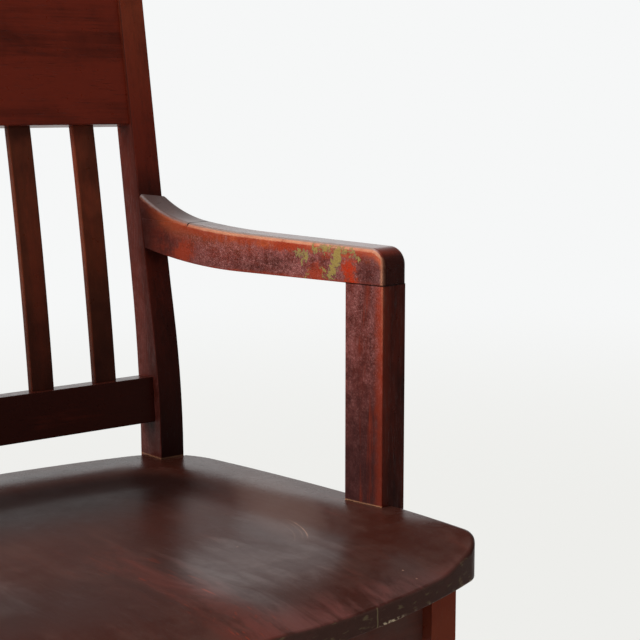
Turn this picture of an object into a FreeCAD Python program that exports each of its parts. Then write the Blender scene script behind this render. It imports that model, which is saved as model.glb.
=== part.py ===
import FreeCAD, Part
import Sketcher
import math
import os
from types import SimpleNamespace

from FreeCAD import Placement, Rotation, Vector

# A fixed wooden library armchair with a saddle seat, bent back posts and sawn arms.
# +Z is up, the sitter looks along -Y, and +X is the sitter's left.
# The origin is on the floor, midway across the chair's width and depth.

# Driving sizes in millimetres, angles in degrees.
SIZES = [
    # Seat plank.
    ("overall_depth", 532, "front of the seat to the back of the post tops"),
    ("seat_height", 445, "floor to the seat's rim"),
    ("seat_thickness", 38.5, "seat plank at its rim"),
    ("seat_width", 516, "seat plank at its widest"),
    ("seat_tail", 53, "seat's back edge behind the front of the back posts"),
    ("seat_widest_setback", 110, "front edge back to the widest place"),
    ("seat_front_radius", 690, "bow of the front edge in plan"),
    ("seat_side_radius", 2060, "bow of a side edge in plan"),
    ("seat_back_radius", 900, "bow of the back edge in plan"),
    ("seat_front_corner", 28, "front corners in plan"),
    ("seat_rear_corner", 80, "rear corners in plan"),
    ("seat_rim", 38, "level rim round the hollow"),
    ("seat_front_rim", 8, "what is left of the rim at the front edge"),
    ("seat_hollow", 10, "depth of the hollow"),
    ("seat_hollow_run", 62, "width of the slope from the rim into the hollow"),
    ("seat_front_drop", 11, "fall of the rolled front edge"),
    ("seat_front_roll", 95, "width of the rolled front edge"),
    ("seat_roll_fade", 24, "how near the side edges the roll fades out"),
    ("seat_ridge", 5, "height of the middle ridge"),
    ("seat_ridge_width", 76, "width of the middle ridge"),
    ("seat_ridge_length", 240, "length of the middle ridge"),
    ("seat_top_round", 3.5, "upper edge rounding"),
    ("seat_lower_round", 2.5, "lower edge rounding"),
    # Back posts, each one piece with its rear leg.
    ("back_post_inset", 39, "seat's widest edge in to the outer face of a back post"),
    ("post_rise", 470, "seat's rim to the top of a back post"),
    ("post_width", 28, "back post across the chair"),
    ("post_depth", 38, "back post at the seat"),
    ("post_top_depth", 27.5, "back post at its top"),
    ("post_foot_depth", 28, "rear leg at the floor"),
    ("back_lean", 65, "post top behind the post at the seat"),
    ("back_bend", 800, "bend of the post's front above the seat"),
    ("back_ease", 2.2, "turn by which the post straightens again"),
    ("back_ease_bend", 2000, "radius of that straightening"),
    ("post_rear_bend", 1300, "bend of the post's rear above the seat"),
    ("leg_lean", 38, "rear foot behind the post at the seat"),
    ("leg_bend", 500, "bend of the rear leg below the aprons"),
    ("arris_round", 1.2, "rounding of the long edges"),
    # Rails and slats of the back.
    ("crest_rise", 338, "seat's rim to the crest rail's lower front edge"),
    ("crest_height", 129, "crest rail at its ends"),
    ("crest_arch", 12, "rise of the crest rail's top"),
    ("crest_thickness", 21, "crest rail front to back"),
    ("crest_setback", 4, "crest rail behind the posts' front"),
    ("lower_rail_rise", 38, "seat's rim to the lower rail's lower front edge"),
    ("lower_rail_height", 46, "lower rail"),
    ("lower_rail_thickness", 25, "lower rail front to back"),
    ("lower_rail_setback", 8.5, "lower rail behind the posts' front"),
    ("slat_end_gap", 37.75, "back post to the nearest slat"),
    ("slat_width", 24.5, "slat across the chair"),
    ("slat_thickness", 8, "slat front to back"),
    ("slat_belly", 2.8, "bow of a slat towards the sitter"),
    ("slat_round", 1.5, "rounding of a slat's long edges"),
    # Arms and their posts.
    ("arm_post_inset", 14.7, "seat's widest edge in to the inner face of an arm post"),
    ("arm_reach", 279, "front of the back posts to front of the arm posts"),
    ("arm_flare", 9.5, "turn of each arm outwards"),
    ("arm_width", 33.8, "arm across"),
    ("arm_post_width", 32.2, "arm post across"),
    ("arm_post_height", 200, "seat's rim to the arm's underside"),
    ("arm_post_depth", 44, "arm post front to back"),
    ("arm_post_bearing", 11.7, "what stands on the seat of the arm post's width"),
    ("arm_post_tongue", 30, "what laps down over the seat's edge"),
    ("arm_nose_height", 32.4, "arm at its front end"),
    ("arm_pitch", 1.5, "rise of the arm's top to the rear"),
    ("arm_belly_length", 134, "curved rear part of the arm's underside"),
    ("arm_belly_radius", 600, "radius of that part"),
    ("arm_sweep_length", 80, "rising part of the arm's top in front of the riser"),
    ("arm_sweep_radius", 850, "radius of that part"),
    ("arm_nose_round", 16, "front end's upper edge"),
    ("arm_edge_round", 5, "arm's upper long edges"),
    ("riser_length", 64, "riser glued on the arm's rear end"),
    ("riser_radius", 160, "hollow of its top"),
    ("riser_edge", 0.9, "depth of the bed cut for it in the arm"),
    # Front legs, aprons and stretchers.
    ("front_leg_inset", 24, "seat's widest edge in to the outer face of a front leg"),
    ("front_leg_setback", 55.5, "seat's front to the front legs"),
    ("front_leg_width", 28, "front leg across, at the top"),
    ("front_leg_depth", 38, "front leg front to back, at the top"),
    ("front_foot_width", 21, "front leg across, at the floor"),
    ("front_foot_depth", 28, "front leg front to back, at the floor"),
    ("apron_height", 50, "aprons under the seat"),
    ("apron_thickness", 20, "aprons"),
    ("front_apron_setback", 11, "front apron behind the front of the legs"),
    ("rear_apron_setback", 8, "rear apron behind the front of the posts"),
    ("side_apron_inset", 4, "side apron out from the inner face of leg and post"),
    ("stretcher_level", 130, "floor to the stretchers' underside"),
    ("stretcher_height", 26, "stretchers"),
    ("stretcher_thickness", 17, "stretchers"),
    ("cross_stretcher_setback", 230, "front of the seat to the cross stretcher"),
    # Corner blocks.
    ("corner_block_length", 48, "corner block along an apron"),
    ("corner_block_height", 38, "corner block"),
    ("corner_block_clearance", 2, "corner block to the leg it goes round"),
    # Joints and fasteners.
    ("tenon_length", 18, "tenons of rails, aprons and stretchers"),
    ("tenon_thickness", 8, "the same tenons"),
    ("tenon_shoulder", 6, "shoulder above and below a tenon"),
    ("slat_tenon_length", 9, "tenons of the slats"),
    ("slat_tenon_thickness", 5, "the same tenons"),
    ("slat_tenon_shoulder", 3, "shoulder each side of a slat's tenon"),
    ("joint_gap", 0.1, "glue line and fastener clearance"),
    ("mortise_end_gap", 1.5, "room past the end of a tenon"),
    ("dowel_diameter", 9, "dowels between arm and arm post"),
    ("dowel_length", 40, "the same dowels"),
    ("dowel_inset", 11, "dowel and screw axes from the arm post's front and rear"),
    ("screw_diameter", 4.5, "shank of every screw"),
    ("screw_head_diameter", 9, "head of every screw"),
    ("screw_head_height", 3, "head of every screw"),
    ("screw_tip", 5, "point of every screw"),
    ("screw_bite", 24, "what a screw holds of the far piece"),
    ("plug_diameter", 12, "wooden plugs over the screws"),
    ("plug_length", 6, "the same plugs"),
    ("plug_proud", 0.8, "what a plug stands out"),
]
SLAT_COUNT = 5
SURFACE_STEPS = 44
CUT_OVERRUN = 40
BACK_SPAN = "Sizes.seat_width - 2 * (Sizes.back_post_inset + Sizes.post_width)"
LEG_SPAN = "Sizes.seat_width - 2 * (Sizes.front_leg_inset + Sizes.front_leg_width)"

doc = FreeCAD.newDocument("library_chair")
sheet = doc.addObject("Spreadsheet::Sheet", "Sizes")
for row, (alias, number, note) in enumerate(SIZES, start=1):
    sheet.set(f"A{row}", note)
    sheet.set(f"B{row}", str(number))
    sheet.setAlias(f"B{row}", alias)
doc.recompute()
size = SimpleNamespace(**{alias: float(sheet.get(alias)) for alias, number, note in SIZES})

# Places that several pieces share.
seat_front = -size.overall_depth / 2
post_front = size.overall_depth / 2 - size.back_lean - size.post_top_depth
seat_back = post_front + size.seat_tail
seat_widest = seat_front + size.seat_widest_setback
seat_underside = size.seat_height - size.seat_thickness
apron_bottom = seat_underside - size.apron_height
post_inner = size.seat_width / 2 - size.back_post_inset - size.post_width
leg_inner = size.seat_width / 2 - size.front_leg_inset - size.front_leg_width
leg_front = seat_front + size.front_leg_setback
leg_back = leg_front + size.front_leg_depth
arm_underside = size.seat_height + size.arm_post_height
arm_front = post_front - size.arm_reach

# The left arm's own frame: X outwards across the arm, Y along it to the rear, Z up.
arm_foot = Vector(size.seat_width / 2 - size.arm_post_inset, arm_front, 0)
arm_frame = Placement(arm_foot, Rotation(Vector(0, 0, 1), size.arm_flare))
UPRIGHT = Placement()

nodes = []


def node(item, label):
    """Name a finished sub-part."""
    item.Label = label
    nodes.append(item)
    return item


def shape_feature(name, shape):
    """Document object that holds a worked-out shape."""
    item = doc.addObject("Part::Feature", name)
    item.Shape = shape
    return item


def bound(kind, name, place, **expressions):
    """Part primitive whose sizes are bound to the sheet."""
    item = doc.addObject(kind, name)
    for prop, expression in expressions.items():
        item.setExpression(prop, expression)
    item.Placement = place
    return item


def shaped(label, base, tools):
    """Sub-part made by cutting tool solids out of a base object."""
    union = tools[0].fuse(tools[1:]) if len(tools) > 1 else tools[0]
    tool = shape_feature(label + "_cutters", union)
    item = doc.addObject("Part::Cut", label)
    item.Base = base
    item.Tool = tool
    return node(item, label)


def joined(name, base, solids):
    """Base object with further solids added to it."""
    item = doc.addObject("Part::MultiFuse", name)
    item.Shapes = [base] + [shape_feature(f"{name}_{count}", solid) for count, solid in enumerate(solids)]
    return item


def mirrored(label, source):
    """The same sub-part for the other side of the chair."""
    item = doc.addObject("Part::Mirroring", label)
    item.Source = source
    item.Normal = Vector(1, 0, 0)
    return node(item, label)


def other_side(shapes):
    """Shapes reflected to the other side of the chair."""
    return [shape.mirror(Vector(0, 0, 0), Vector(1, 0, 0)) for shape in shapes]


def both_sides(shapes):
    """Shapes of the left side and their reflections."""
    return shapes + other_side(shapes)


def brick(low, high, frame=UPRIGHT):
    """Rectangular solid between two corners given in a frame."""
    span = high - low
    solid = Part.makeBox(span.x, span.y, span.z, low)
    solid.Placement = frame.multiply(solid.Placement)
    return solid


def grown(low, high, gap, far, frame=UPRIGHT):
    """Socket for a brick: wider by a gap all round, and deeper by far at both ends along X."""
    margin = Vector(far, gap, gap)
    return brick(low - margin, high + margin, frame)


def plan_prism(corners, bottom, height):
    """Upright prism on a plan outline."""
    outline = [Vector(x, y, bottom) for x, y in corners]
    return Part.Face(Part.makePolygon(outline + outline[:1])).extrude(Vector(0, 0, height))


def turned(profile):
    """Solid turned about Z from (radius, height) pairs."""
    outline = [Vector(radius, 0, height) for radius, height in profile]
    return Part.Face(Part.makePolygon(outline + outline[:1])).revolve(Vector(), Vector(0, 0, 1), 360)


def aimed(shape, point, direction):
    """Copy of a Z-axis shape, moved to a point and turned along a direction."""
    copy = shape.copy()
    copy.Placement = Placement(point, Rotation(Vector(0, 0, 1), direction))
    return copy


def rounded(shape, radius, chosen):
    """Shape with the edges that a test chooses rounded."""
    return shape.makeFillet(radius, [edge for edge in shape.Edges if chosen(edge)])


def is_upright(edge):
    """True for a straight vertical edge."""
    box = edge.BoundBox
    return max(box.XLength, box.YLength) < 0.01 < box.ZLength


# Screws, their plugs and their bores. A screw's head is at the origin and its point below.
def screw(length):
    head = size.screw_head_diameter / 2
    shank = size.screw_diameter / 2
    return turned([
        (0, 0), (head, 0), (shank, -size.screw_head_height), (shank, size.screw_tip - length), (0, -length),
    ])


def screw_bore(length, pocket_diameter):
    head = size.screw_head_diameter / 2 + size.joint_gap
    shank = size.screw_diameter / 2 + size.joint_gap
    pocket = pocket_diameter / 2 + size.joint_gap
    return turned([
        (0, CUT_OVERRUN), (pocket, CUT_OVERRUN), (pocket, size.joint_gap), (head, size.joint_gap),
        (shank, -size.screw_head_height), (shank, -length), (0, -length),
    ])


def plug():
    radius = size.plug_diameter / 2
    top = size.plug_length + size.plug_proud
    foot = 2 * size.joint_gap
    chamfer_foot, chamfer_top = (radius, size.plug_length), (radius - size.plug_proud, top)
    return turned([(0, foot), (radius, foot), chamfer_foot, chamfer_top, (0, top)])


# Seat: a plank bounded by four bowed edges, hollowed on top.
def seat_disc(name, radius, x, y, turn=0):
    place = Placement(Vector(x, y, seat_underside), Rotation(Vector(0, 0, 1), turn))
    return bound(
        "Part::Cylinder", name, place, Radius=f"Sizes.{radius}",
        Height="Sizes.seat_thickness + Sizes.seat_hollow",
    )


def overlap(name, first, second):
    item = doc.addObject("Part::Common", name)
    item.Base = first
    item.Tool = second
    return item


def ease(distance, run):
    """Smooth step from 0 to 1 over a run."""
    part = min(max(distance / run, 0), 1)
    return part * part * (3 - 2 * part)


side_centre = size.seat_width / 2 - size.seat_side_radius


def hollow_depth(x, y):
    """Fall of the seat's top below its rim: hollow with a ridge, plus the rolled front edge."""
    front_gap = size.seat_front_radius - math.hypot(x, y - seat_front - size.seat_front_radius)
    back_gap = size.seat_back_radius - math.hypot(x, y - seat_back + size.seat_back_radius)
    side_gap = size.seat_side_radius - math.hypot(abs(x) - side_centre, y - seat_widest)
    rim_share = ease(front_gap, size.seat_ridge_length)
    side_rim = size.seat_front_rim + (size.seat_rim - size.seat_front_rim) * rim_share
    side_slope = ease(side_gap - side_rim, size.seat_hollow_run)
    hollow = side_slope * ease(back_gap - size.seat_rim, size.seat_hollow_run)
    roll = max(0, 1 - front_gap / size.seat_front_roll) ** 2 * ease(side_gap, size.seat_roll_fade)
    across = math.exp(-((2 * x / size.seat_ridge_width) ** 2))
    ridge = size.seat_ridge * across * (1 - rim_share) * (1 - 0.6 * roll)
    return hollow * (size.seat_hollow - ridge) + size.seat_front_drop * roll


def make_seat(cutters):
    front = seat_disc("seat_front_edge", "seat_front_radius", 0, seat_front + size.seat_front_radius)
    back = seat_disc("seat_back_edge", "seat_back_radius", 0, seat_back - size.seat_back_radius)
    left = seat_disc("seat_left_edge", "seat_side_radius", side_centre, seat_widest, 180)
    right = seat_disc("seat_right_edge", "seat_side_radius", -side_centre, seat_widest)
    plank = overlap("seat_plank", overlap("seat_length", front, back), overlap("seat_breadth", left, right))
    doc.recompute()
    corners = doc.addObject("Part::Fillet", "seat_corners")
    corners.Base = plank
    corners.Edges = [
        (index, *[size.seat_front_corner if edge.CenterOfMass.y < 0 else size.seat_rear_corner] * 2)
        for index, edge in enumerate(plank.Shape.Edges, start=1)
        if is_upright(edge)
    ]
    reach_x = size.seat_width / 2 + size.seat_rim
    reach_front = seat_front - size.seat_rim
    reach_back = seat_back + size.seat_rim
    steps = [step / SURFACE_STEPS for step in range(SURFACE_STEPS + 1)]
    grid = []
    for across in steps:
        x = reach_x * (2 * across - 1)
        lengthwise = [reach_front + (reach_back - reach_front) * along for along in steps]
        grid.append([Vector(x, y, size.seat_height - hollow_depth(x, y)) for y in lengthwise])
    surface = Part.BSplineSurface()
    surface.interpolate(grid)
    waste = surface.toShape().extrude(Vector(0, 0, 2 * size.seat_thickness))
    hollowed = doc.addObject("Part::Cut", "seat_hollowed")
    hollowed.Base = corners
    hollowed.Tool = shape_feature("seat_waste", waste)
    doc.recompute()
    softened = doc.addObject("Part::Fillet", "seat_softened")
    softened.Base = hollowed
    middle = seat_underside + size.seat_lower_round
    softened.Edges = [
        (index, *[size.seat_lower_round if edge.BoundBox.ZMax < middle else size.seat_top_round] * 2)
        for index, edge in enumerate(hollowed.Shape.Edges, start=1)
        if not is_upright(edge)
    ]
    return shaped("seat", softened, cutters)


# Back posts: a side outline of straight runs and arcs, carried across the post's width.
def swept_run(lean, rise, bend, turn=0.0, ease_bend=1.0):
    """Edge that starts upright, bends back and ends at (lean, rise).

    It bends by the final angle plus a turn, straightens by that turn, and runs straight to its end. The final
    angle is found by halving. Gives the corner points of the runs and a function of the height.
    """
    def stations(angle):
        steep = angle + math.radians(turn)
        bent = Vector(0, bend * (1 - math.cos(steep)), bend * math.sin(steep))
        centre = bent + ease_bend * Vector(0, -math.cos(steep), math.sin(steep))
        eased = centre + ease_bend * Vector(0, math.cos(angle), -math.sin(angle))
        end = eased + Vector(0, math.tan(angle), 1) * (rise - eased.z)
        return steep, bent, centre, eased, end

    low, high = 0.0, math.radians(45)
    for halving in range(60):
        angle = (low + high) / 2
        if stations(angle)[4].y < lean:
            low = angle
        else:
            high = angle
    steep, bent, centre, eased, end = stations(angle)

    def depth_at(height):
        if height < bent.z:
            return bend - math.sqrt(bend ** 2 - max(height, 0) ** 2)
        if height < eased.z:
            return centre.y + math.sqrt(ease_bend ** 2 - (height - centre.z) ** 2)
        return eased.y + math.tan(angle) * (height - eased.z)

    half = steep / 2
    half_bent = Vector(0, bend * (1 - math.cos(half)), bend * math.sin(half))
    edges = [Part.Arc(Vector(), half_bent, bent).toShape()]
    if turn:
        middle = (steep + angle) / 2
        half_eased = centre + ease_bend * Vector(0, math.cos(middle), -math.sin(middle))
        edges.append(Part.Arc(bent, half_eased, eased).toShape())
    edges.append(Part.makeLine(eased, end))
    return SimpleNamespace(edges=edges, end=end, angle=math.degrees(angle), depth_at=depth_at)


def set_run(run, start, downwards=False):
    """Edges of a run moved to its start, turned over where the run goes down."""
    moved = []
    for edge in run.edges:
        copy = edge.mirror(Vector(), Vector(0, 0, 1)) if downwards else edge.copy()
        copy.translate(start)
        moved.append(copy)
    return moved


post_top = size.seat_height + size.post_rise
front_run = swept_run(size.back_lean, size.post_rise, size.back_bend, size.back_ease, size.back_ease_bend)
rear_lean = size.back_lean + size.post_top_depth - size.post_depth
rear_run = swept_run(rear_lean, size.post_rise, size.post_rear_bend)
foot_front_run = swept_run(size.leg_lean, apron_bottom, size.leg_bend)
foot_rear_run = swept_run(size.leg_lean + size.post_foot_depth - size.post_depth, apron_bottom, size.leg_bend)


def post_front_at(height):
    """Y of the back posts' front face at a height above the seat."""
    return post_front + front_run.depth_at(height - size.seat_height)


def post_rear_at(height):
    """Y of the back posts' rear face at a height above the seat."""
    return post_front + size.post_depth + rear_run.depth_at(height - size.seat_height)


def post_solid(inner, width, forward=0.0):
    """Back post's outline carried across a width, or the same moved forward for a trimming tool."""
    front = Vector(inner, post_front - forward, 0)
    rear = Vector(inner, post_front + size.post_depth, 0)
    at_seat = Vector(0, 0, size.seat_height)
    at_apron = Vector(0, 0, apron_bottom)
    front_up = set_run(front_run, front + at_seat)
    rear_up = set_run(rear_run, rear + at_seat)
    front_down = set_run(foot_front_run, front + at_apron, True)
    rear_down = set_run(foot_rear_run, rear + at_apron, True)
    front_toe = front + at_apron + Vector(0, foot_front_run.end.y, -apron_bottom)
    rear_toe = rear + at_apron + Vector(0, foot_rear_run.end.y, -apron_bottom)
    straight = [
        Part.makeLine(front + at_apron, front + at_seat),
        Part.makeLine(rear + at_apron, rear + at_seat),
        Part.makeLine(front + at_seat + front_run.end, rear + at_seat + rear_run.end),
        Part.makeLine(front_toe, rear_toe),
    ]
    edges = Part.__sortEdges__(front_up + rear_up + front_down + rear_down + straight)
    return Part.Face(Part.Wire(edges)).extrude(Vector(width, 0, 0))


def make_back_post(cutters):
    post = post_solid(post_inner, size.post_width)

    def is_long_or_top(edge):
        box = edge.BoundBox
        return box.ZMax > size.arris_round and (box.XLength < 0.01 or box.ZMin > post_top - 0.01)

    blank = shape_feature("back_post_blank", rounded(post, size.arris_round, is_long_or_top))
    return shaped("left_back_post", blank, cutters)


# Rails of the back: each has a frame at its lower front edge, tilted as the posts are there.
def rail_frame(bottom, setback, tilt):
    place = Vector(0, post_front_at(bottom) + setback, bottom)
    return Placement(place, Rotation(Vector(1, 0, 0), -tilt))


crest_frame = rail_frame(size.seat_height + size.crest_rise, size.crest_setback, front_run.angle)
lower_rail_bottom = size.seat_height + size.lower_rail_rise
lower_rail_lean = post_front_at(lower_rail_bottom + size.lower_rail_height) - post_front_at(lower_rail_bottom)
lower_rail_tilt = math.degrees(math.atan2(lower_rail_lean, size.lower_rail_height))
lower_rail_frame = rail_frame(lower_rail_bottom, size.lower_rail_setback, lower_rail_tilt)


def rail_tenon(thickness, height):
    """Corners of a rail's left tenon in the rail's frame."""
    cheek = (thickness - size.tenon_thickness) / 2
    low = Vector(post_inner, cheek, size.tenon_shoulder)
    high = Vector(post_inner + size.tenon_length, thickness - cheek, height - size.tenon_shoulder)
    return low, high


crest_tenon = rail_tenon(size.crest_thickness, size.crest_height)
lower_rail_tenon = rail_tenon(size.lower_rail_thickness, size.lower_rail_height)


def make_crest_rail(cutters):
    left = Vector(post_inner, 0, 0)
    top = Vector(0, 0, size.crest_height)
    arch = Part.Arc(left + top, top + Vector(0, 0, size.crest_arch), top - left).toShape()
    sides = [Part.makeLine(-left, left), Part.makeLine(left, left + top), Part.makeLine(top - left, -left)]
    outline = Part.Wire(Part.__sortEdges__(sides + [arch]))
    plank = Part.Face(outline).extrude(Vector(0, size.crest_thickness, 0))

    def is_long(edge):
        return edge.BoundBox.XLength > post_inner

    plank = rounded(plank, size.arris_round, is_long)
    plank.Placement = crest_frame
    tenon = brick(*crest_tenon, crest_frame)
    blank = joined("crest_blank", shape_feature("crest_plank", plank), both_sides([tenon]))
    return shaped("crest_rail", blank, cutters)


def make_lower_back_rail(cutters):
    corner = lower_rail_frame.multVec(Vector(-post_inner, 0, 0))
    bar = bound(
        "Part::Box", "lower_rail_bar", Placement(corner, lower_rail_frame.Rotation),
        Length=BACK_SPAN, Width="Sizes.lower_rail_thickness", Height="Sizes.lower_rail_height",
    )
    tenon = brick(*lower_rail_tenon, lower_rail_frame)
    blank = joined("lower_rail_blank", bar, both_sides([tenon]))
    return shaped("lower_back_rail", blank, cutters)


# Slats: a bowed outline between the rails, with a short tenon at each end.
slat_pitch = (2 * (post_inner - size.slat_end_gap) - size.slat_width) / (SLAT_COUNT - 1)


def slat_middle(count):
    return slat_pitch * (count - (SLAT_COUNT - 1) / 2)


def slat_tenon(frame_height, rail_thickness, upwards):
    """Corners of a slat's tenon in a rail's frame, for a slat in the middle."""
    half_width = size.slat_width / 2 - size.slat_tenon_shoulder
    middle = rail_thickness / 2
    half_depth = size.slat_tenon_thickness / 2
    root, tip = frame_height, frame_height + (size.slat_tenon_length if upwards else -size.slat_tenon_length)
    low = Vector(-half_width, middle - half_depth, min(root, tip))
    high = Vector(half_width, middle + half_depth, max(root, tip))
    return low, high


lower_slat_tenon = slat_tenon(size.lower_rail_height, size.lower_rail_thickness, False)
upper_slat_tenon = slat_tenon(0, size.crest_thickness, True)


def slat_mortises(tenon, frame):
    """Sockets for all the slats' tenons in one rail."""
    gap = Vector(size.joint_gap, size.joint_gap, size.mortise_end_gap)
    low, high = tenon
    sockets = []
    for count in range(SLAT_COUNT):
        shift = Vector(slat_middle(count), 0, 0)
        sockets.append(brick(low - gap + shift, high + gap + shift, frame))
    return sockets


def make_slat(count):
    half = size.slat_thickness / 2
    foot = Vector(0, size.lower_rail_thickness / 2, size.lower_rail_height)
    head = Vector(0, size.crest_thickness / 2, 0)
    across = Vector(0, half, 0)
    lower = [lower_rail_frame.multVec(foot - across), lower_rail_frame.multVec(foot + across)]
    upper = [crest_frame.multVec(head - across), crest_frame.multVec(head + across)]
    bows = []
    for start, end in zip(lower, upper):
        middle = (start + end) / 2 - Vector(0, size.slat_belly, 0)
        bows.append(Part.Arc(start, middle, end).toShape())
    ends = [Part.makeLine(*lower), Part.makeLine(*upper)]
    outline = Part.Wire(Part.__sortEdges__(bows + ends))
    strip = Part.Face(outline).extrude(Vector(size.slat_width, 0, 0))

    def is_long(edge):
        return edge.BoundBox.ZLength > size.slat_width

    strip = rounded(strip, size.slat_round, is_long)
    strip.translate(Vector(slat_middle(count) - size.slat_width / 2, 0, 0))
    tenons = [brick(*lower_slat_tenon, lower_rail_frame), brick(*upper_slat_tenon, crest_frame)]
    for tenon in tenons:
        tenon.translate(Vector(slat_middle(count), 0, 0))
    label = f"back_slat_{count + 1}"
    return node(joined(label, shape_feature(label + "_strip", strip), tenons), label)


# Arms: a side outline carried across the arm's width, trimmed to the back post behind.
pitch = math.radians(size.arm_pitch)
arm_top = arm_underside + size.arm_nose_height
arm_end = (post_front_at(arm_top) - arm_front) / math.cos(math.radians(size.arm_flare))
arm_run_on = arm_end + size.tenon_length
riser_start = arm_end - size.riser_length
sweep_start = riser_start - size.arm_sweep_length
belly_start = arm_end - size.arm_belly_length


def arm_underside_at(along):
    """Height of the arm's underside."""
    behind = max(along - belly_start, 0)
    return arm_underside + size.arm_belly_radius - math.sqrt(size.arm_belly_radius ** 2 - behind ** 2)


def rising_arc(start, radius, slope, along):
    """Arc that rises more and more from a point and a slope: its edge, end point and end slope."""
    end_slope = math.asin(math.sin(slope) + along / radius)
    centre = start + radius * Vector(0, -math.sin(slope), math.cos(slope))

    def point(angle):
        return centre + radius * Vector(0, math.sin(angle), -math.cos(angle))

    edge = Part.Arc(start, point((slope + end_slope) / 2), point(end_slope)).toShape()
    return edge, point(end_slope), end_slope


front_high = Vector(0, 0, arm_top)
sweep_foot = Vector(0, sweep_start, arm_top + sweep_start * math.tan(pitch))
sweep_edge, seam, seam_slope = rising_arc(sweep_foot, size.arm_sweep_radius, pitch, size.arm_sweep_length)
riser_edge, riser_end, riser_slope = rising_arc(seam, size.riser_radius, seam_slope, arm_run_on - riser_start)
bed_start = seam - Vector(0, 0, size.riser_edge)
bed_rise = Vector(0, 1, math.tan(pitch))
bed_end_height = bed_start.z + size.riser_length * math.tan(pitch)


def arm_blank():
    """Arm and riser in one, with the nose and the upper edges rounded."""
    front_low = Vector(0, 0, arm_underside)
    belly_foot = Vector(0, belly_start, arm_underside)
    belly_middle = (belly_start + arm_run_on) / 2
    rear_low = Vector(0, arm_run_on, arm_underside_at(arm_run_on))
    edges = [
        Part.makeLine(front_low, belly_foot),
        Part.Arc(belly_foot, Vector(0, belly_middle, arm_underside_at(belly_middle)), rear_low).toShape(),
        Part.makeLine(rear_low, riser_end),
        riser_edge,
        sweep_edge,
        Part.makeLine(sweep_foot, front_high),
        Part.makeLine(front_high, front_low),
    ]
    solid = Part.Face(Part.Wire(Part.__sortEdges__(edges))).extrude(Vector(size.arm_width, 0, 0))
    nose = front_high + Vector(size.arm_width / 2, 0, 0)
    solid = rounded(solid, size.arm_nose_round, lambda edge: edge.CenterOfMass.distanceToPoint(nose) < 0.01)

    def is_upper_long(edge):
        box = edge.BoundBox
        return box.ZMin > arm_underside + size.arm_nose_height / 4 and box.XLength < 0.01 < box.YLength

    solid = rounded(solid, size.arm_edge_round, is_upper_long)
    solid.Placement = arm_frame
    return solid


def riser_space(gap):
    """All that lies above the riser's bed, less a glue line."""
    foot = bed_start + Vector(-CUT_OVERRUN, gap, gap)
    length = size.riser_length + 2 * CUT_OVERRUN
    high = Vector(0, 0, 4 * size.arm_nose_height)
    corners = [foot, foot + bed_rise * length, foot + bed_rise * length + high, foot + high]
    side = Part.Face(Part.makePolygon(corners + corners[:1]))
    space = side.extrude(Vector(size.arm_width + 2 * CUT_OVERRUN, 0, 0))
    space.Placement = arm_frame
    return space


def post_trim():
    """Tool that takes away all that lies behind a glue line in front of the back post's front face."""
    start = Vector(post_inner - CUT_OVERRUN, post_front - size.joint_gap, size.seat_height)
    end = start + front_run.end
    behind = Vector(0, size.overall_depth, 0)
    straight = [
        Part.makeLine(start, start + behind),
        Part.makeLine(start + behind, end + behind),
        Part.makeLine(end + behind, end),
    ]
    outline = Part.Wire(Part.__sortEdges__(set_run(front_run, start) + straight))
    return Part.Face(outline).extrude(Vector(size.post_width + 2 * CUT_OVERRUN, 0, 0))


def make_arm(cutters):
    blank = shape_feature("arm_blank", arm_blank())
    return shaped("left_arm", blank, cutters + [riser_space(0), post_trim()])


def make_arm_riser():
    block = doc.addObject("Part::Common", "arm_riser_blank")
    block.Base = shape_feature("arm_riser_wood", arm_blank())
    block.Tool = shape_feature("arm_riser_space", riser_space(size.joint_gap))
    return shaped("left_arm_riser", block, [post_trim()])


# Arm posts: stand on the seat's rim and lap its edge with a tongue.
def arm_axis_places():
    """Distances along the arm of the dowels and screws in an arm post."""
    return [size.dowel_inset, size.arm_post_depth - size.dowel_inset]


def arm_dowel_places():
    """Middles of the left arm post's dowels."""
    middle = size.arm_post_width / 2
    return [arm_frame.multVec(Vector(middle, along, arm_underside)) for along in arm_axis_places()]


def dowel(gap, end_gap):
    radius = size.dowel_diameter / 2 + gap
    half = size.dowel_length / 2 + end_gap
    return turned([(0, -half), (radius, -half), (radius, half), (0, half)])


def tongue_screw_places():
    """Heads of the left arm post's screws, level with the middle of the tongue."""
    level = size.seat_height - size.arm_post_tongue / 2
    across = size.arm_post_width - size.plug_length
    return [arm_frame.multVec(Vector(across, along, level)) for along in arm_axis_places()]


tongue_screw_length = size.arm_post_width - size.plug_length - size.arm_post_bearing + size.screw_bite
outwards = arm_frame.Rotation.multVec(Vector(1, 0, 0))


def tongue_socket():
    """What the tongue takes out of the seat's edge."""
    low = Vector(size.arm_post_bearing - size.joint_gap, -size.joint_gap, 0)
    high = Vector(size.arm_post_width + CUT_OVERRUN, size.arm_post_depth + size.joint_gap, 0)
    low.z = size.seat_height - size.arm_post_tongue - size.joint_gap
    high.z = size.seat_height + CUT_OVERRUN
    return brick(low, high, arm_frame)


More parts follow.
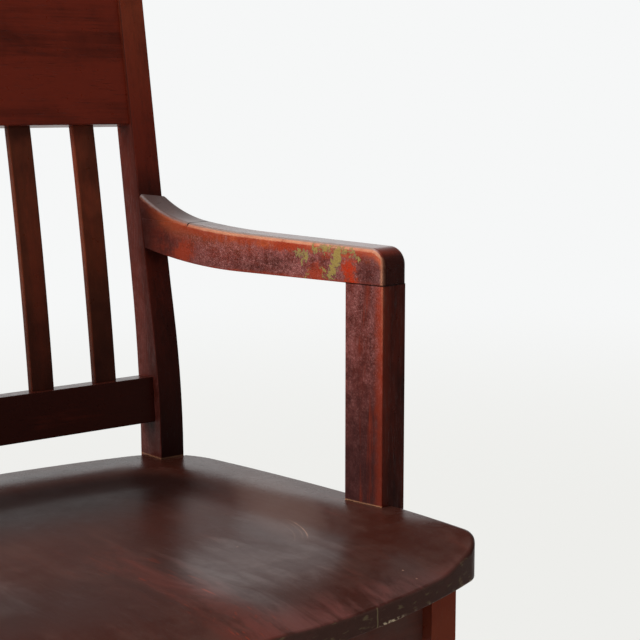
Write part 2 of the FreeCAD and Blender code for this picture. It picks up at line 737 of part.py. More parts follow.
def make_arm_post(cutters):
    column_foot = arm_frame.multVec(Vector(0, 0, size.seat_height + size.joint_gap))
    column = bound(
        "Part::Box", "arm_post_column", Placement(column_foot, arm_frame.Rotation),
        Length="Sizes.arm_post_width", Width="Sizes.arm_post_depth",
        Height="Sizes.arm_post_height - Sizes.joint_gap",
    )
    tongue_foot = arm_frame.multVec(Vector(size.arm_post_bearing, 0, size.seat_height - size.arm_post_tongue))
    tongue = bound(
        "Part::Box", "arm_post_tongue", Placement(tongue_foot, arm_frame.Rotation),
        Length="Sizes.arm_post_width - Sizes.arm_post_bearing", Width="Sizes.arm_post_depth",
        Height="Sizes.arm_post_tongue + 2 * Sizes.joint_gap",
    )
    blank = doc.addObject("Part::MultiFuse", "arm_post_blank")
    blank.Shapes = [column, tongue]
    blank.Refine = True
    doc.recompute()
    softened = doc.addObject("Part::Fillet", "arm_post_softened")
    softened.Base = blank
    softened.Edges = [
        (index, size.arris_round, size.arris_round)
        for index, edge in enumerate(blank.Shape.Edges, start=1)
        if is_upright(edge) and edge.Length > size.arm_post_height / 2
    ]
    return shaped("left_arm_post", softened, cutters)


# Front legs: a square top as tall as the aprons, then a taper to the floor.
def centred_rectangle(body, name, width, depth, level):
    """Sketch of a rectangle about the leg's axis, at a level below its top."""
    sketch = body.newObject("Sketcher::SketchObject", name)
    plane = [item for item in body.Origin.OriginFeatures if item.Role == "XY_Plane"][0]
    sketch.AttachmentSupport = [(plane, "")]
    sketch.MapMode = "FlatFace"
    sketch.setExpression("AttachmentOffset.Base.z", level)
    corners = [Vector(-10, -10, 0), Vector(10, -10, 0), Vector(10, 10, 0), Vector(-10, 10, 0)]
    for count, corner in enumerate(corners):
        sketch.addGeometry(Part.LineSegment(corner, corners[(count + 1) % 4]))
    for count in range(4):
        sketch.addConstraint(Sketcher.Constraint("Coincident", count, 2, (count + 1) % 4, 1))
        sketch.addConstraint(Sketcher.Constraint("Vertical" if count % 2 else "Horizontal", count))
    sketch.addConstraint(Sketcher.Constraint("Symmetric", 0, 1, 2, 1, -1, 1))
    for title, side, expression in (("width", 0, width), ("depth", 1, depth)):
        index = sketch.addConstraint(Sketcher.Constraint("Distance", side, 20))
        sketch.renameConstraint(index, title)
        sketch.setExpression(f"Constraints.{title}", expression)
    return sketch


def make_front_leg(cutters):
    body = doc.addObject("PartDesign::Body", "front_leg_body")
    top = centred_rectangle(body, "leg_top", "Sizes.front_leg_width", "Sizes.front_leg_depth", "0")
    square = body.newObject("PartDesign::Pad", "leg_square")
    square.Profile = top
    square.setExpression("Length", "Sizes.apron_height")
    square.Reversed = True
    doc.recompute()
    knee = centred_rectangle(
        body, "leg_knee", "Sizes.front_leg_width", "Sizes.front_leg_depth", "-Sizes.apron_height",
    )
    foot = centred_rectangle(
        body, "leg_foot", "Sizes.front_foot_width", "Sizes.front_foot_depth",
        "Sizes.seat_thickness - Sizes.seat_height",
    )
    doc.recompute()
    taper = body.newObject("PartDesign::AdditiveLoft", "leg_taper")
    taper.Profile = knee
    taper.Sections = [foot]
    axis = Vector(leg_inner + size.front_leg_width / 2, leg_front + size.front_leg_depth / 2, seat_underside)
    body.Placement = Placement(axis, Rotation())
    return shaped("front_left_leg", body, cutters)


# Aprons and stretchers between the legs.
def front_leg_back_at(height):
    """Y of a front leg's rear face at a height, below the aprons."""
    share = (apron_bottom - height) / apron_bottom
    return leg_back - share * (size.front_leg_depth - size.front_foot_depth) / 2


def cross_apron(label, y, half_length, length):
    """Apron across the chair with a tenon at each end in its lower half, and the left tenon's socket."""
    bar = bound(
        "Part::Box", label + "_bar", Placement(Vector(-half_length, y, apron_bottom), Rotation()),
        Length=length, Width="Sizes.apron_thickness", Height="Sizes.apron_height",
    )
    cheek = (size.apron_thickness - size.tenon_thickness) / 2
    low = Vector(half_length - size.tenon_length, y + cheek, apron_bottom + size.tenon_shoulder)
    high = Vector(half_length + size.tenon_length, low.y + size.tenon_thickness, 0)
    high.z = apron_middle - size.tenon_shoulder
    node(joined(label, bar, both_sides([brick(low, high)])), label)
    return grown(low, high, size.joint_gap, size.mortise_end_gap)


def side_bar(front, rear, thickness, bottom, height):
    """Bar along the chair's left side between two (x, y) ends."""
    (front_x, front_y), (rear_x, rear_y) = front, rear
    half = thickness / 2
    return plan_prism(
        [(front_x - half, front_y), (front_x + half, front_y), (rear_x + half, rear_y), (rear_x - half, rear_y)],
        bottom, height,
    )


def side_tenons(front, rear, bottom, top):
    """Tenons at the two ends of a side bar between two levels, and their sockets."""
    reach = Vector(size.tenon_thickness / 2, size.tenon_length, 0)
    gap = Vector(size.joint_gap, size.mortise_end_gap, size.joint_gap)
    corners = [(Vector(x, y, bottom) - reach, Vector(x, y, top) + reach) for x, y in (front, rear)]
    return [brick(low, high) for low, high in corners], [brick(low - gap, high + gap) for low, high in corners]


apron_middle = apron_bottom + size.apron_height / 2
apron_leg_x = leg_inner + size.side_apron_inset + size.apron_thickness / 2
apron_post_x = post_inner + size.side_apron_inset + size.apron_thickness / 2
apron_ends = ((apron_leg_x, leg_back), (apron_post_x, post_front))


def side_apron_inner_at(y):
    """X of the left apron's inner face."""
    share = (y - leg_back) / (post_front - leg_back)
    return apron_leg_x + share * (apron_post_x - apron_leg_x) - size.apron_thickness / 2


side_apron_bar = side_bar(*apron_ends, size.apron_thickness, apron_bottom, size.apron_height)
side_apron_tenons, side_apron_sockets = side_tenons(
    *apron_ends, apron_middle + size.tenon_shoulder, seat_underside - size.tenon_shoulder,
)

stretcher_top = size.stretcher_level + size.stretcher_height
stretcher_middle = size.stretcher_level + size.stretcher_height / 2
leg_middle_x = leg_inner + size.front_leg_width / 2
post_middle_x = post_inner + size.post_width / 2
stretcher_front = front_leg_back_at(stretcher_middle)
stretcher_rear = post_front + foot_front_run.depth_at(apron_bottom - stretcher_middle)
stretcher_ends = ((leg_middle_x, stretcher_front), (post_middle_x, stretcher_rear))
stretcher_skew = (post_middle_x - leg_middle_x) / (stretcher_rear - stretcher_front)
stretcher_tenons, stretcher_sockets = side_tenons(
    *stretcher_ends, size.stretcher_level + size.tenon_shoulder, stretcher_top - size.tenon_shoulder,
)
cross_y = seat_front + size.cross_stretcher_setback
cross_middle_y = cross_y + size.stretcher_thickness / 2
cross_half = leg_middle_x + stretcher_skew * (cross_middle_y - stretcher_front) - size.stretcher_thickness / 2
cross_tenon_reach = 0.6 * size.stretcher_thickness
cross_tenon = (
    Vector(
        cross_half - size.tenon_length,
        cross_middle_y - size.tenon_thickness / 2,
        size.stretcher_level + size.tenon_shoulder,
    ),
    Vector(
        cross_half + cross_tenon_reach,
        cross_middle_y + size.tenon_thickness / 2,
        stretcher_top - size.tenon_shoulder,
    ),
)
cross_socket = grown(*cross_tenon, size.joint_gap, size.mortise_end_gap)


def long_side_stretcher():
    """Left stretcher's bar run on into the legs, to be trimmed there."""
    extra = size.tenon_length / 2
    ends = [
        (leg_middle_x - stretcher_skew * extra, stretcher_front - extra),
        (post_middle_x + stretcher_skew * extra, stretcher_rear + extra),
    ]
    return side_bar(*ends, size.stretcher_thickness, size.stretcher_level, size.stretcher_height)


def make_cross_stretcher(side_trims):
    extra = size.stretcher_thickness / 2
    bar = Part.makeBox(
        2 * (cross_half + extra), size.stretcher_thickness, size.stretcher_height,
        Vector(-cross_half - extra, cross_y, size.stretcher_level),
    )
    trimmed = shape_feature("cross_stretcher_bar", bar.cut(side_trims))
    return node(joined("cross_stretcher", trimmed, both_sides([brick(*cross_tenon)])), "cross_stretcher")


# Corner blocks: fill the corner between two aprons, and go round the leg.
def corner_block_outline(apron_face, leg_corner_x, leg_corner_y, inwards):
    """Plan outline of a block; inwards is +1 at the front and -1 at the rear."""
    clear = size.corner_block_clearance
    near_leg_x = leg_corner_x - clear
    near_leg_y = leg_corner_y + inwards * clear
    far_y = near_leg_y + inwards * size.corner_block_length
    return [
        (near_leg_x, apron_face),
        (near_leg_x - size.corner_block_length, apron_face),
        (side_apron_inner_at(far_y), far_y),
        (side_apron_inner_at(near_leg_y), near_leg_y),
        (near_leg_x, near_leg_y),
    ]


front_apron_y = leg_front + size.front_apron_setback
rear_apron_y = post_front + size.rear_apron_setback
front_block_corner = (leg_inner, leg_back)
rear_block_corner = (post_inner, post_front)
block_bottom = seat_underside - size.corner_block_height
corner_blocks = {
    "front": corner_block_outline(front_apron_y + size.apron_thickness, *front_block_corner, 1),
    "rear": corner_block_outline(rear_apron_y, *rear_block_corner, -1),
}


def block_middle(outline):
    """Middle of a block's long face, and the level direction from there to its leg."""
    (first_x, first_y), (second_x, second_y) = outline[1], outline[2]
    middle = Vector((first_x + second_x) / 2, (first_y + second_y) / 2, apron_middle)
    corner = Vector(*outline[4], middle.z)
    return middle, (corner - middle).normalize()


# Where every screw's head is, the way that it comes out, and its length.
arm_screw_level = (arm_underside_at(arm_end) + bed_end_height) / 2
seat_screw_level = size.seat_height - size.seat_thickness / 2


def post_screw(level):
    """Screw square to the rear of a back post, under its plug."""
    face = Vector(post_middle_x, post_rear_at(level), level)
    slope = post_rear_at(level + 1) - post_rear_at(level)
    way = Vector(0, 1, -slope).normalize()
    depth = (face.y - post_front_at(level)) / way.y
    return face - way * size.plug_length, way, depth - size.plug_length + size.screw_bite


def block_screws():
    """Screws of the left blocks into their legs, and up into the seat."""
    into_legs = []
    into_seat = []
    for outline in corner_blocks.values():
        middle, towards_leg = block_middle(outline)
        head = middle + towards_leg * size.screw_head_height
        reach = Vector(*outline[4], middle.z).distanceToPoint(head)
        into_legs.append((head, -towards_leg, reach + size.screw_bite))
        aside = Vector(-towards_leg.y, towards_leg.x, 0) * 1.5 * size.screw_head_diameter
        foot = middle + towards_leg * reach / 2 + aside
        foot.z = block_bottom + size.screw_head_height
        into_seat.append((foot, Vector(0, 0, -1), seat_underside - foot.z + size.screw_bite / 2))
    return into_legs, into_seat


arm_end_screw = post_screw(arm_screw_level)
seat_post_screw = post_screw(seat_screw_level)
tongue_screws = [(place, outwards, tongue_screw_length) for place in tongue_screw_places()]
leg_screws, seat_screws = block_screws()


def screws_of(driven):
    return [aimed(screw(length), place, way) for place, way, length in driven]


def bores_of(driven, pocket):
    return [aimed(screw_bore(length, pocket), place, way) for place, way, length in driven]


def plugs_of(driven):
    return [aimed(plug(), place, way) for place, way, length in driven]


def fastener_group(label, left_side):
    """Identical fasteners of both sides as one sub-part."""
    return node(shape_feature(label, Part.Compound(both_sides(left_side))), label)


post_bores = bores_of([arm_end_screw, seat_post_screw], size.plug_diameter)
tongue_bores = bores_of(tongue_screws, size.plug_diameter)
leg_bores = bores_of(leg_screws, size.screw_head_diameter)
seat_bores = bores_of(seat_screws, size.screw_head_diameter)
dowel_bore = dowel(size.joint_gap, size.mortise_end_gap)
dowel_bores = [aimed(dowel_bore, place, Vector(0, 0, 1)) for place in arm_dowel_places()]

# Seat and everything under it.
post_notch = brick(
    Vector(post_inner, post_front, seat_underside - CUT_OVERRUN),
    Vector(size.seat_width, size.overall_depth, size.seat_height + CUT_OVERRUN),
)
make_seat(both_sides([post_notch, tongue_socket()] + tongue_bores + seat_bores + post_bores[1:]))

front_apron_socket = cross_apron("front_apron", front_apron_y, leg_inner, LEG_SPAN)
rear_apron_socket = cross_apron("rear_apron", rear_apron_y, post_inner, BACK_SPAN)
left_apron = joined("left_apron", shape_feature("side_apron_bar", side_apron_bar), side_apron_tenons)
mirrored("right_apron", node(left_apron, "left_apron"))

front_leg = make_front_leg([front_apron_socket, side_apron_sockets[0], stretcher_sockets[0]] + leg_bores[:1])
mirrored("front_right_leg", front_leg)

# Back posts, rails and slats.
back_post = make_back_post(
    [
        grown(*crest_tenon, size.joint_gap, size.mortise_end_gap, crest_frame),
        grown(*lower_rail_tenon, size.joint_gap, size.mortise_end_gap, lower_rail_frame),
        rear_apron_socket, side_apron_sockets[1], stretcher_sockets[1],
    ] + post_bores + leg_bores[1:]
)
mirrored("right_back_post", back_post)
make_crest_rail(slat_mortises(upper_slat_tenon, crest_frame))
make_lower_back_rail(slat_mortises(lower_slat_tenon, lower_rail_frame))
for slat_number in range(SLAT_COUNT):
    make_slat(slat_number)

# Arms.
arm_post = make_arm_post(dowel_bores + tongue_bores)
mirrored("right_arm_post", arm_post)
arm = make_arm(dowel_bores + post_bores[:1])
mirrored("right_arm", arm)
mirrored("right_arm_riser", make_arm_riser())

# Stretchers, the side ones trimmed to the raked and tapered legs that they meet.
doc.recompute()
leg_trim = front_leg.Base.Shape.copy()
leg_trim.translate(Vector(0, size.joint_gap, 0))
rear_leg_trim = post_solid(post_inner, size.post_width, size.joint_gap)
stretcher_trimmed = long_side_stretcher().cut([leg_trim, rear_leg_trim])
cross_trims = both_sides([stretcher_trimmed.translated(Vector(-size.joint_gap, 0, 0))])
stretcher_bar = shape_feature("stretcher_bar", stretcher_trimmed)
stretcher_blank = joined("stretcher_blank", stretcher_bar, stretcher_tenons)
mirrored("right_stretcher", shaped("left_stretcher", stretcher_blank, [cross_socket]))
make_cross_stretcher(cross_trims)

# Corner blocks.
for place, outline in corner_blocks.items():
    block = shape_feature(place + "_block", plan_prism(outline, block_bottom, size.corner_block_height))
    left_block = shaped(f"{place}_left_corner_block", block, leg_bores + seat_bores)
    mirrored(f"{place}_right_corner_block", left_block)

# Fasteners.
dowels = [aimed(dowel(0, 0), place, Vector(0, 0, 1)) for place in arm_dowel_places()]
fastener_group("arm_dowels", dowels)
fastener_group("arm_end_screws", screws_of([arm_end_screw]))
fastener_group("seat_post_screws", screws_of([seat_post_screw]))
fastener_group("back_post_plugs", plugs_of([arm_end_screw, seat_post_screw]))
fastener_group("arm_post_screws", screws_of(tongue_screws))
fastener_group("arm_post_plugs", plugs_of(tongue_screws))
fastener_group("seat_screws", screws_of(seat_screws))
fastener_group("corner_block_screws", screws_of(leg_screws))

# Check every object, then write one file for each sub-part.
doc.recompute()
for item in doc.Objects:
    if "Invalid" in item.State or "Error" in item.State:
        raise RuntimeError(f"{item.Label} did not recompute: {item.State}")
for item in nodes:
    if item.Shape.isNull() or not item.Shape.isValid() or not item.Shape.Solids:
        raise RuntimeError(f"{item.Label} has no sound solid")
os.makedirs("parts", exist_ok=True)
for item in nodes:
    item.Shape.exportStep(f"parts/{item.Label}.step")
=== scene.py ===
"""Old library armchair in stained hardwood: finishes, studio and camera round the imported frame, in metres."""
import math

import bmesh
import bpy
import numpy as np
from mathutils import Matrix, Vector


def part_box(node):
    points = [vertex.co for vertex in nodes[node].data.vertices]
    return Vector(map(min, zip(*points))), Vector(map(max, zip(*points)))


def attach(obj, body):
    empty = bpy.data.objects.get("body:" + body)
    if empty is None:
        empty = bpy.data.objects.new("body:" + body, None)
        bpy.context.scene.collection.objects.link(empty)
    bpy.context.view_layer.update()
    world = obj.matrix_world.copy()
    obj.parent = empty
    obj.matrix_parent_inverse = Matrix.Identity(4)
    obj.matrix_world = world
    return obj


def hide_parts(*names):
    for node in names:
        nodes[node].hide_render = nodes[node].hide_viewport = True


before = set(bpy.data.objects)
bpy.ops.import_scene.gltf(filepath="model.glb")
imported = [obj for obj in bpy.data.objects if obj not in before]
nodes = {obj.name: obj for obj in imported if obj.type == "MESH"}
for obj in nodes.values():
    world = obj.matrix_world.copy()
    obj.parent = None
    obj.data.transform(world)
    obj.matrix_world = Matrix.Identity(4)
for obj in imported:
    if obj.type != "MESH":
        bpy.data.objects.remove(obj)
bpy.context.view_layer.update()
scene = bpy.context.scene


# Places and sizes on the chair, in millimetres where the finishes use them

MM = 1000.0
arm_post_low, arm_post_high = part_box("left_arm_post")
seat_low, seat_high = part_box("seat")

SEAT_TOP = seat_high[2] * MM
SEAT_FRONT = seat_low[1] * MM
SEAT_UNDERSIDE = seat_low[2] * MM
ARM_UNDERSIDE = arm_post_high[2] * MM
ARM_FRONT = arm_post_low[1] * MM
ARM_SPREAD = 243.3
ARM_FLARE = math.radians(9.5)
ARM_NOSE, ARM_NOSE_ROUND = 32.4, 16.0
ARM_PITCH = math.radians(1.5)
ARM_POST_DEPTH = 44.0
SWEEP_START, SWEEP_RADIUS = 167.5, 850.0
RISER_START, RISER_RADIUS = 247.5, 160.0
EASED_EDGE = 0.0009


# Colours of the finish, and of the painted shade and sheen, as they look on a screen

def tone(red, green, blue):
    """Linear colour of an 8-bit screen colour."""
    screen = np.array([red, green, blue]) / 255
    linear = np.where(screen <= 0.04045, screen / 12.92, ((screen + 0.055) / 1.055) ** 2.4)
    return (*linear.tolist(), 1.0)


BROWN_STAIN = tone(64, 24, 16)
RED_STAIN = tone(126, 44, 27)
# Dark brown of the pores and joints, also used as painted shade on front faces, low parts and the seat's back
# wall
PORE_JOINT_AND_SHADE_DARK = tone(30, 11, 8)
WORN_EDGE = tone(182, 102, 72)
CLEAN_RED = tone(160, 56, 28)
FADED_STAIN = tone(162, 85, 53)
AMBER = tone(204, 98, 46)
BRIGHT_WEAR = tone(194, 130, 100)
BARE_ORANGE = tone(178, 44, 5)
BLOOM = tone(162, 96, 91)
FROST = tone(190, 132, 124)
# Dark of the crazing cracks, also used as painted shade on the legs' inner faces
CRACK_AND_SHADE_DARK = tone(54, 29, 28)
FLAKE = tone(156, 132, 68)
PALE_FLAKE = tone(118, 104, 80)
PAINTED_TOP_SHEEN = tone(132, 112, 108)
OLD_WAX = tone(190, 140, 104)
SEAT_BROWN = tone(62, 29, 21)
SEAT_RED = tone(96, 38, 27)
# Grey-brown haze of the seat, also painted light on the seat's front face and the front apron, and painted
# sheen on the slopes beside the dish
HAZE_AND_PAINTED_LIGHT = tone(100, 74, 66)
SCRATCH = tone(198, 152, 124)
OLIVE_SCUFF = tone(150, 134, 96)
BARE_CHIP = tone(220, 198, 164)
PAINTED_EDGE_SHEEN = tone(168, 144, 132)


# Wires: the arithmetic that the finishes are written in

class Wire:
    """An output socket of a finish.

    Sums and products of wires and numbers add Math nodes, and node() adds any other node.
    """

    def __init__(self, tree, socket):
        self.tree = tree
        self.socket = socket

    def node(self, kind, settings, sockets, output=0):
        """Adds a node of this type, sets its settings first and then its sockets' values or links."""
        made = self.tree.nodes.new("ShaderNode" + kind)
        for name, value in settings.items():
            setattr(made, name, value)
        for key, value in sockets.items():
            if isinstance(value, Wire):
                self.tree.links.new(value.socket, made.inputs[key])
            else:
                made.inputs[key].default_value = value
        return Wire(self.tree, made.outputs[output])

    def math(self, operation, *terms):
        """One Math node on these terms."""
        return self.node("Math", {"operation": operation}, dict(enumerate(terms)))

    def vector(self, operation, other, output=0):
        """One Vector Math node on this wire and another value."""
        return self.node("VectorMath", {"operation": operation}, {0: self, 1: other}, output)

    def __add__(self, other):
        return self.math("ADD", self, other)

    def __sub__(self, other):
        return self.math("SUBTRACT", self, other)

    def __rsub__(self, other):
        return self.math("SUBTRACT", other, self)

    def __mul__(self, other):
        return self.math("MULTIPLY", self, other)

    def __truediv__(self, other):
        return self.math("DIVIDE", self, other)

    def __abs__(self):
        return self.math("ABSOLUTE", self)

    __radd__ = __add__
    __rmul__ = __mul__


def ease(value, low, high):
    """0 where value is below low, 1 above high, and a smooth rise between them."""
    sockets = {"Value": value, "From Min": low, "From Max": high}
    return value.node("MapRange", {"interpolation_type": "SMOOTHSTEP"}, sockets)


def blend(first, second, share):
    """The colour first where share is 0 and second where it is 1."""
    return share.node("Mix", {"data_type": "RGBA"}, {0: share, 6: first, 7: second}, 2)


def noise(place, scale, detail=3.0, roughness=0.55, warp=0.0):
    """Cloudy pattern round 0.5 with that many clouds per unit of place."""
    sockets = {"Vector": place, "Scale": scale, "Detail": detail, "Roughness": roughness, "Distortion": warp}
    return place.node("TexNoise", {}, sockets)


def cells(place, scale, feature, output="Distance"):
    """Cell pattern: distance to the nearest cell edge or cell middle, in units of a cell."""
    return place.node("TexVoronoi", {"feature": feature}, {"Vector": place, "Scale": scale}, output)


def parts(place):
    """The x, y and z of a place as three wires."""
    return [place.node("SeparateXYZ", {}, {0: place}, axis) for axis in "XYZ"]


def largest(*wires):
    """The largest of several wires."""
    result = wires[0]
    for wire in wires[1:]:
        result = result.math("MAXIMUM", result, wire)
    return result


# Patterns that the finishes share

def stretched(place, run, along, across):
    """The place scaled by along in the run's direction and by across square to it: noise turns to grain."""
    squeeze = {"x": (along, across, across), "y": (across, along, across), "z": (across, across, along)}
    return place.vector("MULTIPLY", squeeze[run])


def figure(place, run):
    """Broad light and dark figure of the wood, with finer fibres in it: 0 is dark and 1 is light."""
    broad = noise(stretched(place, run, 3.0, 26.0), 1.0, 4.0, 0.55, 0.5)
    fibres = noise(stretched(place, run, 10.0, 420.0), 1.0, 3.0, 0.65)
    return ease(broad * 0.7 + fibres * 0.3, 0.32, 0.7)


def pores(place, run):
    """Short dark dashes of the open pores: 1 in a pore and 0 between."""
    return ease(noise(stretched(place, run, 60.0, 1400.0), 1.0, 2.0, 0.5), 0.6, 0.72)


def crazing(place, cell=0.0017):
    """Crazed polish in cells of that size: the way in from the cracks round a cell, and a tone for each."""
    shaken = place.vector("ADD", shake(place, 700.0, 0.0007))
    within = ease(cells(shaken, 1 / cell, "DISTANCE_TO_EDGE"), 0.02, 0.2)
    return within, parts(cells(shaken, 1 / cell, "F1", "Color"))[0]


def shake(place, scale, reach):
    """Cloudy shift of a place, up to reach each way."""
    cloud = place.node("TexNoise", {}, {"Vector": place, "Scale": scale, "Detail": 2.0}, "Color")
    return cloud.vector("SUBTRACT", (0.5, 0.5, 0.5)).vector("MULTIPLY", (2 * reach, 2 * reach, 2 * reach))


def arris(place, low=0.03, high=0.16):
    """1 on rounded edges, where the normal points between the chair's main directions, and 0 on the faces."""
    normal = parts(place.node("TexCoord", {}, {}, "Normal"))
    squareness = largest(*(abs(axis) for axis in normal))
    return ease(1 - squareness, low, high)


def inward(place):
    """1 on the faces towards the middle of the chair, from its left and its right, and 0 on the others."""
    normal = parts(place.node("TexCoord", {}, {}, "Normal"))
    half = place.math("SIGN", parts(place)[0])
    return ease(0 - normal[0] * half, 0.35, 0.85)


def frontal(place):
    """1 on the faces towards the front of the chair and 0 on the others."""
    return ease(0 - parts(place.node("TexCoord", {}, {}, "Normal"))[1], 0.6, 0.9)


def near_both(first, second, reach):
    """1 where both distances are 0, falling to 0 where either is more than reach: the strip along an edge."""
    return (1 - ease(first, reach * 0.2, reach)) * (1 - ease(second, reach * 0.2, reach))


def splash(along, up, spots):
    """Join of leaning ovals: 1 - r * r for the nearest oval, so 1 in its middle and 0 on its outline."""
    ovals = []
    for middle, level, half_length, half_height, lean in spots:
        rise = (up - level) / half_height
        run = (along - middle + (up - level) * lean) / half_length
        ovals.append(1 - (rise * rise + run * run))
    return largest(*ovals)


def arm_measures(place):
    """Millimetres back from either arm's front, out from its inner face and up from its underside."""
    x, y, z = [axis * MM for axis in parts(place)]
    out, back = abs(x) - ARM_SPREAD, y - ARM_FRONT
    along = back * math.cos(ARM_FLARE) - out * math.sin(ARM_FLARE)
    across = out * math.cos(ARM_FLARE) + back * math.sin(ARM_FLARE)
    return along, across, z - ARM_UNDERSIDE


def arc_rise(run, radius, first_sine):
    """Height that a rising arc gains over a level run: its radius times the fall of the slope's cosine."""
    last_sine = run / radius + first_sine
    return (math.sqrt(1 - first_sine ** 2) - run.math("SQRT", 1 - last_sine * last_sine)) * radius


def arm_top(along):
    """Height of an arm's top: nose's quarter circle, straight pitch, then the sweep's and the riser's arcs."""
    nose = along.math("MAXIMUM", ARM_NOSE_ROUND - along, 0.0)
    drop = ARM_NOSE_ROUND - along.math("SQRT", ARM_NOSE_ROUND ** 2 - nose * nose)
    straight = along.math("MINIMUM", along, SWEEP_START) * math.tan(ARM_PITCH)
    sweep = along.math("MAXIMUM", along.math("MINIMUM", along, RISER_START) - SWEEP_START, 0.0)
    riser = along.math("MAXIMUM", along - RISER_START, 0.0)
    sweep_sine = math.sin(ARM_PITCH)
    riser_sine = sweep_sine + (RISER_START - SWEEP_START) / SWEEP_RADIUS
    rise = arc_rise(sweep, SWEEP_RADIUS, sweep_sine) + arc_rise(riser, RISER_RADIUS, riser_sine)
    return ARM_NOSE + straight + rise - drop


def begin(name):
    """A new finish and its place on the chair, as a wire."""
    material = bpy.data.materials.new(name)
    material.use_nodes = True
    return Wire(material.node_tree, None).node("TexCoord", {}, {}, "Object")


def close(name, colour, roughness, relief, depth, specular, shine=None):
    """Ends a finish: its colour, roughness, relief of that depth and shine on top go into one shader."""
    tree = colour.tree
    bump = relief.node("Bump", {}, {"Height": relief, "Distance": depth, "Strength": 1.0})
    wires = {"Base Color": colour, "Roughness": roughness, "Normal": bump}
    if shine:
        wires["Coat Weight"] = shine
    shader = tree.nodes["Principled BSDF"]
    for socket, wire in wires.items():
        tree.links.new(wire.socket, shader.inputs[socket])
    shader.inputs["Specular IOR Level"].default_value = specular
    shader.inputs["Coat Roughness"].default_value = SHINE_ROUGHNESS
    return bpy.data.materials[name]


# Finishes

POLISH_GLOSS = 0.3
POLISH_RELIEF = 0.0002
SEAT_GLOSS = 0.1
SHINE_ROUGHNESS = 0.28


class Polish:
    """Stained and polished wood in the making: colour, roughness and relief, which wear, stains and painted
    light and shade change.
    """

    def __init__(self, name, run, redness=0.5):
        self.name = name
        self.place = begin(name)
        self.clouds = noise(self.place, 24.0, 4.0, 0.6, 0.4)
        self.patches = noise(self.place, 95.0, 4.0, 0.6)
        self.speckle = noise(self.place, 620.0, 2.0, 0.6)
        grain = figure(self.place, run)
        dashes = pores(self.place, run)
        share = grain * 0.4 + self.clouds * 0.5 + 0.05
        self.colour = blend(BROWN_STAIN, RED_STAIN, ease(share, 0.75 - redness * 0.7, 1.25 - redness * 0.7))
        self.colour = blend(self.colour, PORE_JOINT_AND_SHADE_DARK, dashes * 0.35)
        self.roughness = 0.3 + (self.patches - 0.5) * 0.15
        self.shine = None
        self.relief = self.patches * 0.5 - dashes * 0.4

    def bloomed(self, share):
        """Grey bloom under the crazed polish, with frosted specks, where share is above 0."""
        within, cell_tone = crazing(self.place)
        cloudy = ease(self.clouds * 0.3 + self.patches * 0.45 + self.speckle * 0.25, 0.4, 0.62)
        frosted = ease(cell_tone, 0.5, 1.0) * (cloudy * 0.3 + 0.15)
        cracked = largest(1 - within, 1 - ease(cell_tone, 0.05, 0.4))
        self.colour = blend(self.colour, BLOOM, share * (cloudy * 0.75 + 0.1))
        self.colour = blend(self.colour, FROST, share * frosted)
        self.colour = blend(self.colour, CRACK_AND_SHADE_DARK, share * cracked * 0.33)
        self.roughness = self.roughness + share * 0.12
        self.relief = self.relief + share * within * 0.5

    def tinted(self, colour, share):
        """Another colour where share is above 0."""
        self.colour = blend(self.colour, colour, share)

    def worn(self, share, colour=WORN_EDGE):
        """Rubbed through to lighter wood where share is above 0, ragged by the patches."""
        ragged = ease(share * (self.patches * 1.3 + self.speckle * 0.5 + 0.1), 0.2, 1.05)
        self.colour = blend(self.colour, colour, ragged)
        self.roughness = self.roughness + ragged * 0.1

    def finish(self):
        """The material with all that was added to it."""
        looks = (self.colour, self.roughness, self.relief)
        return close(self.name, *looks, POLISH_RELIEF, POLISH_GLOSS, self.shine)


def rail_wood(name, run, redness, painted_light=0.0):
    """Rails, aprons and stretchers: even stain, lightened by that share of painted light, edges a little
    lighter.
    """
    polish = Polish(name, run, redness)
    # Painted light: a paler grey-brown over the stain, by the given share
    polish.tinted(HAZE_AND_PAINTED_LIGHT, polish.clouds * painted_light)
    polish.worn(arris(polish.place) * 0.35, CLEAN_RED)
    return polish.finish()


def leg_wood(name):
    """Front legs: faded red, with painted shade darkening the faces towards the middle of the chair."""
    polish = Polish(name, "z", 1.2)
    polish.tinted(FADED_STAIN, polish.clouds * 0.55)
    # Painted shade on the faces towards the middle of the chair
    polish.tinted(CRACK_AND_SHADE_DARK, inward(polish.place) * 0.45)
    polish.worn(arris(polish.place) * 0.35, CLEAN_RED)
    return polish.finish()


def slat_wood(name):
    """Back slats: faded brown at the top and painted shade darkening them towards the lower rail."""
    polish = Polish(name, "z", 0.6)
    above_seat = parts(polish.place)[2] * MM - SEAT_TOP
    polish.tinted(FADED_STAIN, polish.clouds * 0.5)
    # Painted shade, darker towards the lower rail
    polish.tinted(PORE_JOINT_AND_SHADE_DARK, (1 - ease(above_seat, 0.0, 330.0)) * 0.8)
    polish.worn(arris(polish.place) * 0.35, CLEAN_RED)
    return polish.finish()


